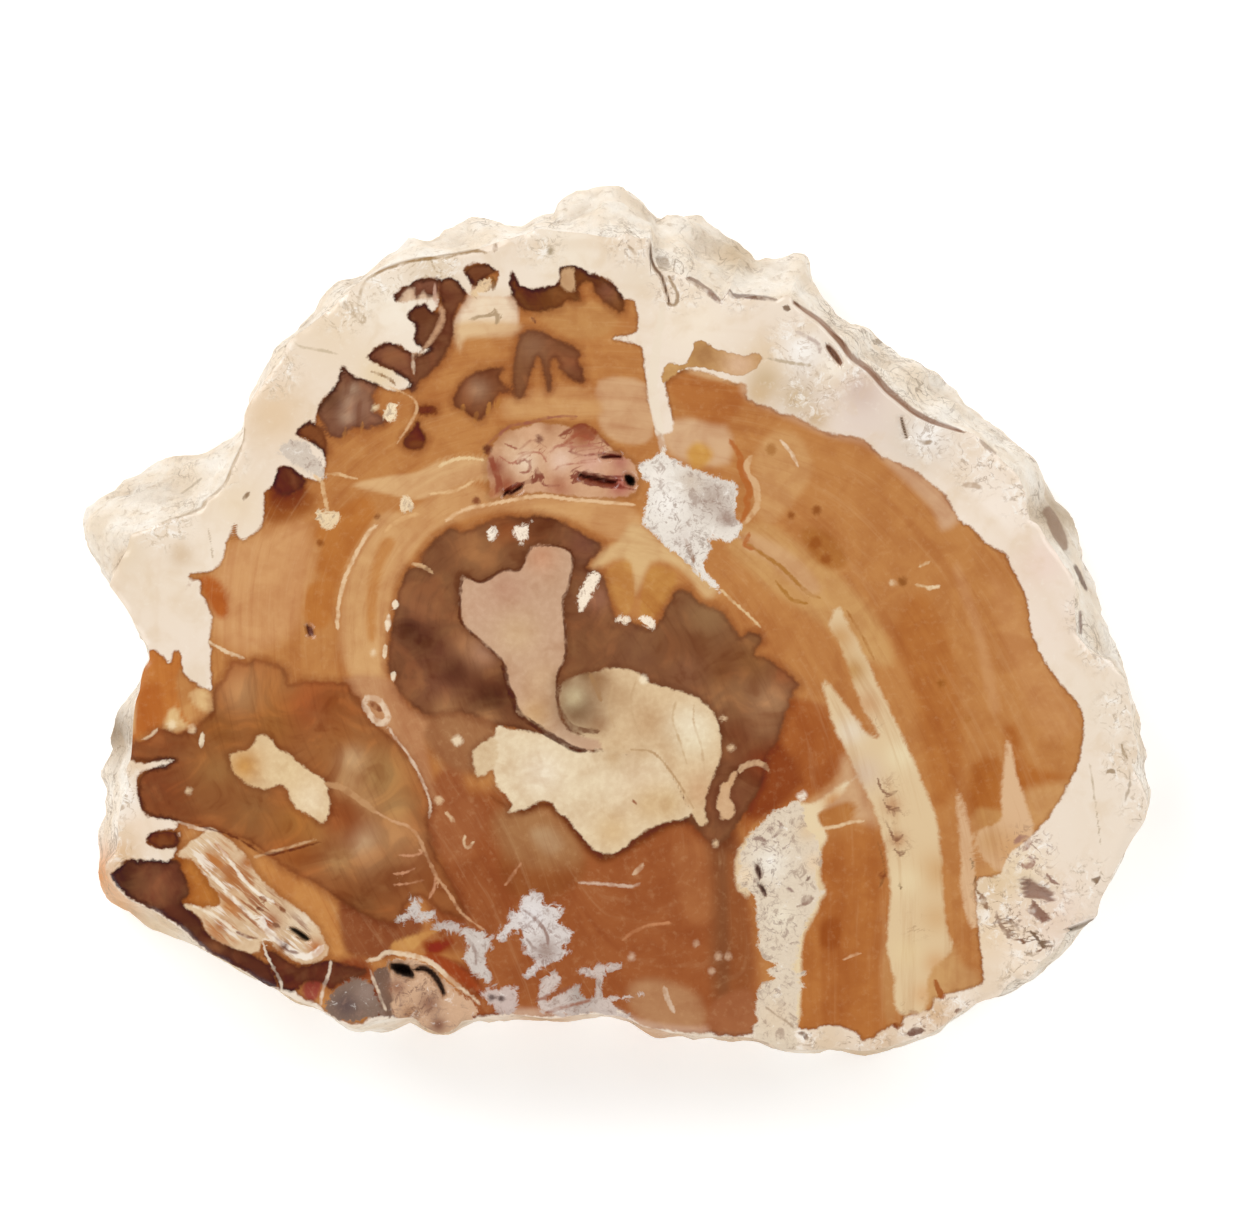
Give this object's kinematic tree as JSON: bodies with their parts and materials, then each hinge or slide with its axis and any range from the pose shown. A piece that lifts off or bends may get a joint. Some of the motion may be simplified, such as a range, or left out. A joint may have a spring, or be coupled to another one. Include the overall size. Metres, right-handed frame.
{
  "type": "petrified wood slice",
  "caption": "Polished cross-section of an agatised log with a flat sawn back, rough outer skin, and small open pits and cracks.",
  "frame": {"origin": "middle of the footprint's box, on the sawn back that the slice lies on", "axes": "+Z out of the polished face, +X along the widest way across the face, +Y across it"},
  "size_m": [0.1198, 0.0974, 0.018],
  "materials": {
    "agatised_wood": "polished on the upper face, rough elsewhere"
  },
  "bodies": {
    "root": {"petrified_wood_slice": "agatised_wood"}
  },
  "joints": []
}
